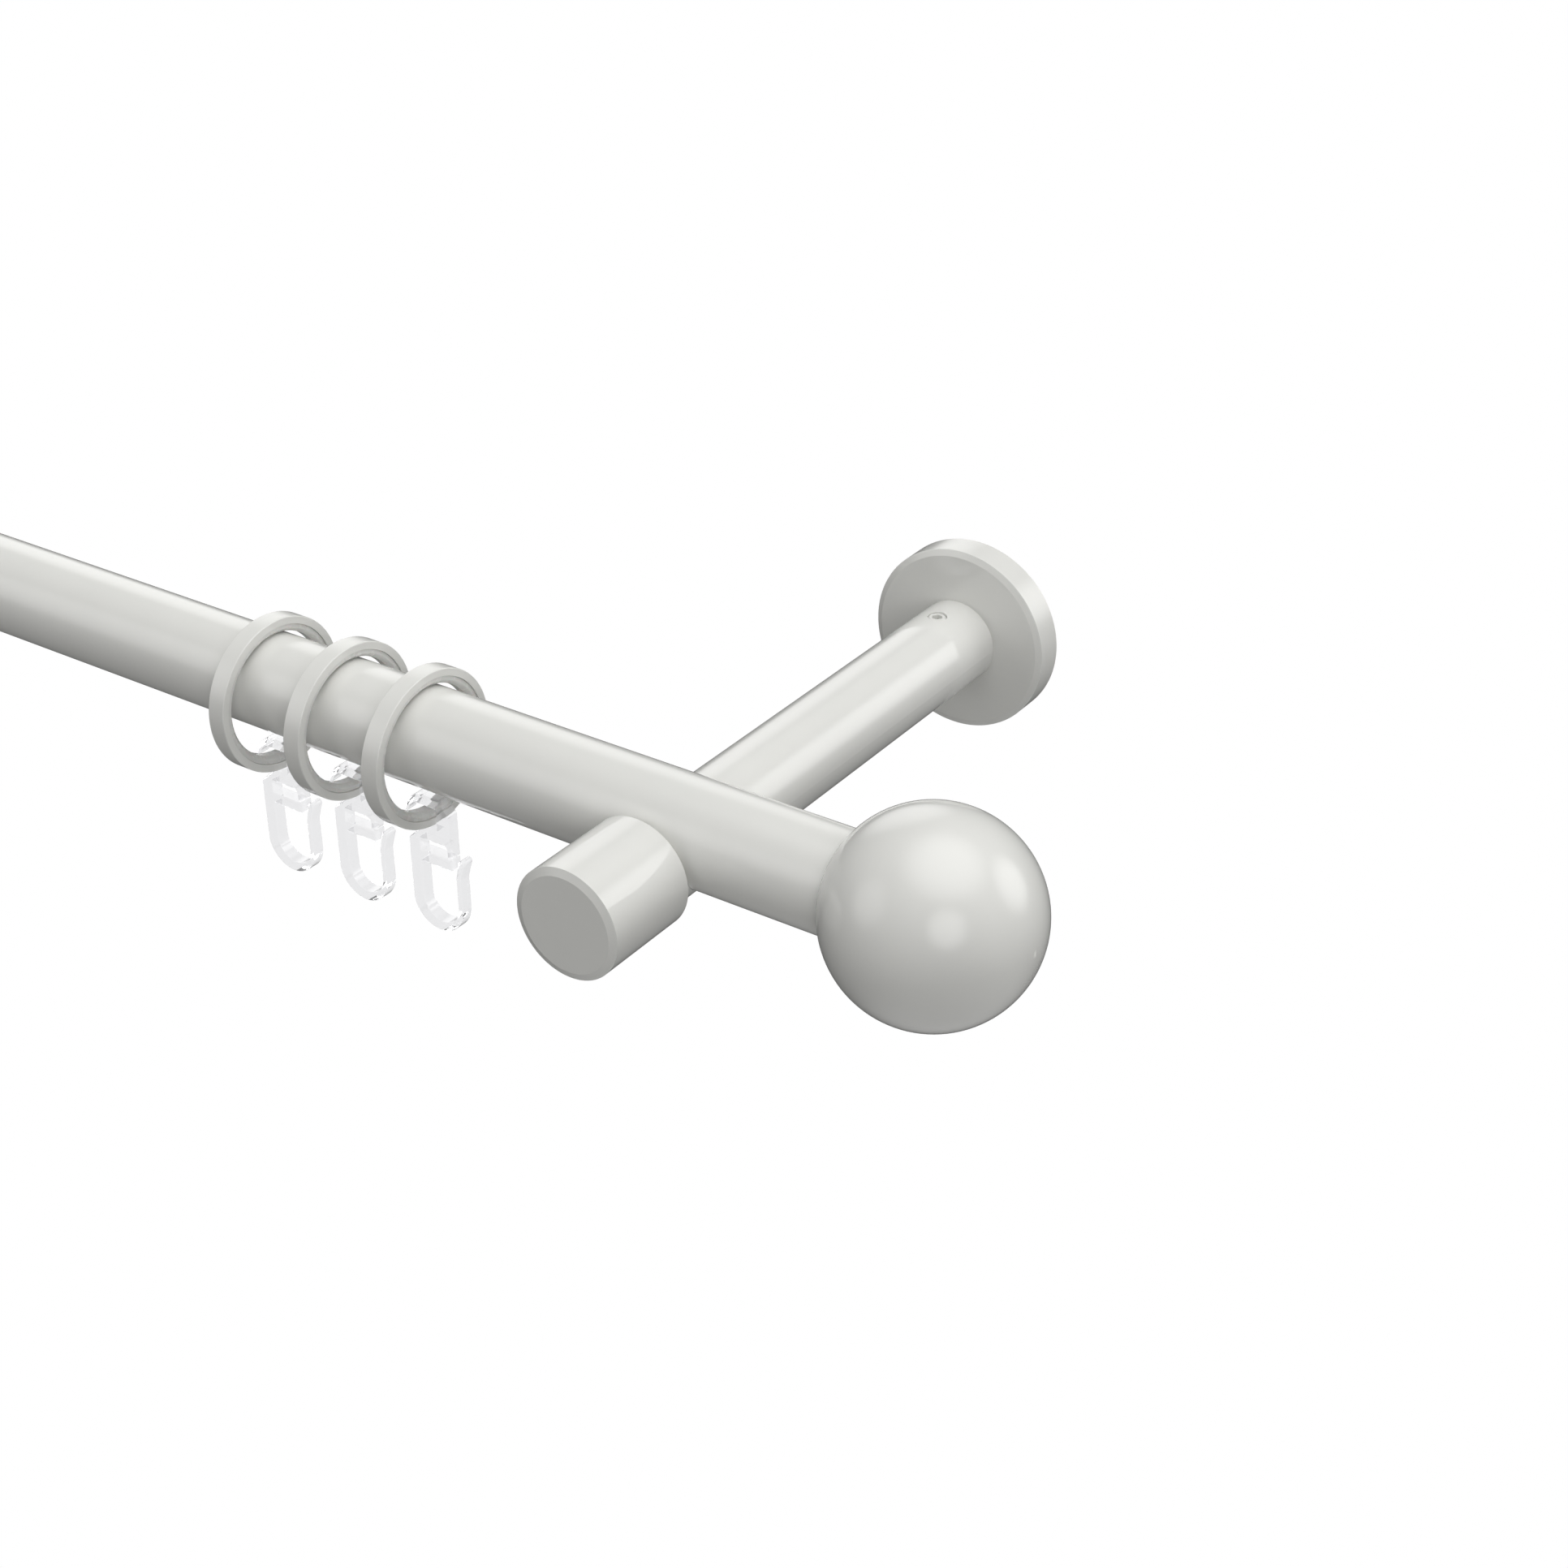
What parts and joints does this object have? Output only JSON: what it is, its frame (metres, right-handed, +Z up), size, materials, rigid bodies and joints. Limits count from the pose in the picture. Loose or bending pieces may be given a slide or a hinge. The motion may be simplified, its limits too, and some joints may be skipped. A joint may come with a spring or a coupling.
{
  "type": "curtain rod with brackets",
  "caption": "Round curtain rod on wall brackets with rosettes, ball finials, lined rings that slide along the rod, and clear clip-on pleat hooks that swing on the rings.",
  "frame": {"origin": "on the wall's plane, midway between the two brackets, at the height of the axes of their arms", "axes": "+X along the rod to the right, +Y into the wall, +Z up"},
  "size_m": [0.6692, 0.1392, 0.0637],
  "materials": {
    "rod_lacquer": "satin white-grey lacquer",
    "finial_lacquer": "glossy white-grey lacquer",
    "bracket_lacquer": "satin white-grey lacquer",
    "ring_lacquer": "satin white-grey lacquer",
    "liner_plastic": "matt glide plastic",
    "hook_clear": "clear moulded plastic",
    "plug_nylon": "moulded nylon",
    "plate_steel": "zinc-plated steel",
    "screw_steel": "zinc-plated steel"
  },
  "bodies": {
    "root": {"rod_tube": "rod_lacquer", "right_finial_ball": "finial_lacquer", "right_finial_plug": "plug_nylon", "right_finial_stud": "screw_steel", "right_wall_plate": "plate_steel", "right_spigot": "plate_steel", "right_spigot_screw": "screw_steel", "right_rosette": "bracket_lacquer", "right_arm": "bracket_lacquer", "right_arm_grub_screw": "bracket_lacquer", "right_rod_clamp_screw": "bracket_lacquer", "right_end_cap": "bracket_lacquer", "right_cap_grub_screw": "bracket_lacquer", "left_finial_ball": "finial_lacquer", "left_finial_plug": "plug_nylon", "left_finial_stud": "screw_steel", "left_wall_plate": "plate_steel", "left_spigot": "plate_steel", "left_spigot_screw": "screw_steel", "left_rosette": "bracket_lacquer", "left_arm": "bracket_lacquer", "left_arm_grub_screw": "bracket_lacquer", "left_rod_clamp_screw": "bracket_lacquer", "left_end_cap": "bracket_lacquer", "left_cap_grub_screw": "bracket_lacquer"},
    "right_ring_1": {"right_ring_1": "ring_lacquer", "right_ring_liner_1": "liner_plastic"},
    "right_hook_1": {"right_hook_1": "hook_clear"},
    "right_ring_2": {"right_ring_2": "ring_lacquer", "right_ring_liner_2": "liner_plastic"},
    "right_hook_2": {"right_hook_2": "hook_clear"},
    "right_ring_3": {"right_ring_3": "ring_lacquer", "right_ring_liner_3": "liner_plastic"},
    "right_hook_3": {"right_hook_3": "hook_clear"},
    "left_ring_1": {"left_ring_1": "ring_lacquer", "left_ring_liner_1": "liner_plastic"},
    "left_hook_1": {"left_hook_1": "hook_clear"},
    "left_ring_2": {"left_ring_2": "ring_lacquer", "left_ring_liner_2": "liner_plastic"},
    "left_hook_2": {"left_hook_2": "hook_clear"},
    "left_ring_3": {"left_ring_3": "ring_lacquer", "left_ring_liner_3": "liner_plastic"},
    "left_hook_3": {"left_hook_3": "hook_clear"}
  },
  "joints": [
    {"name": "right_ring_1_slide", "type": "slide", "parent": "root", "child": "right_ring_1", "axis": [1, 0, 0], "range_m": [-0.06, 0.039]},
    {"name": "right_hook_1_swing", "type": "hinge", "parent": "right_ring_1", "child": "right_hook_1", "pos_m": [0.2005, -0.107, 0.0018], "axis": [1, 0, 0], "range_deg": [-90, 90]},
    {"name": "right_ring_2_slide", "type": "slide", "parent": "right_ring_1", "child": "right_ring_2", "axis": [1, 0, 0], "range_m": [-0.045, 0.0055]},
    {"name": "right_hook_2_swing", "type": "hinge", "parent": "right_ring_2", "child": "right_hook_2", "pos_m": [0.1805, -0.107, 0.0018], "axis": [1, 0, 0], "range_deg": [-90, 90]},
    {"name": "right_ring_3_slide", "type": "slide", "parent": "right_ring_2", "child": "right_ring_3", "axis": [1, 0, 0], "range_m": [-0.045, 0.0055]},
    {"name": "right_hook_3_swing", "type": "hinge", "parent": "right_ring_3", "child": "right_hook_3", "pos_m": [0.1605, -0.107, 0.0018], "axis": [1, 0, 0], "range_deg": [-90, 90]},
    {"name": "left_ring_1_slide", "type": "slide", "parent": "root", "child": "left_ring_1", "axis": [-1, 0, 0], "range_m": [-0.06, 0.039]},
    {"name": "left_hook_1_swing", "type": "hinge", "parent": "left_ring_1", "child": "left_hook_1", "pos_m": [-0.2005, -0.107, 0.0018], "axis": [1, 0, 0], "range_deg": [-90, 90]},
    {"name": "left_ring_2_slide", "type": "slide", "parent": "left_ring_1", "child": "left_ring_2", "axis": [-1, 0, 0], "range_m": [-0.045, 0.0055]},
    {"name": "left_hook_2_swing", "type": "hinge", "parent": "left_ring_2", "child": "left_hook_2", "pos_m": [-0.1805, -0.107, 0.0018], "axis": [1, 0, 0], "range_deg": [-90, 90]},
    {"name": "left_ring_3_slide", "type": "slide", "parent": "left_ring_2", "child": "left_ring_3", "axis": [-1, 0, 0], "range_m": [-0.045, 0.0055]},
    {"name": "left_hook_3_swing", "type": "hinge", "parent": "left_ring_3", "child": "left_hook_3", "pos_m": [-0.1605, -0.107, 0.0018], "axis": [1, 0, 0], "range_deg": [-90, 90]}
  ]
}
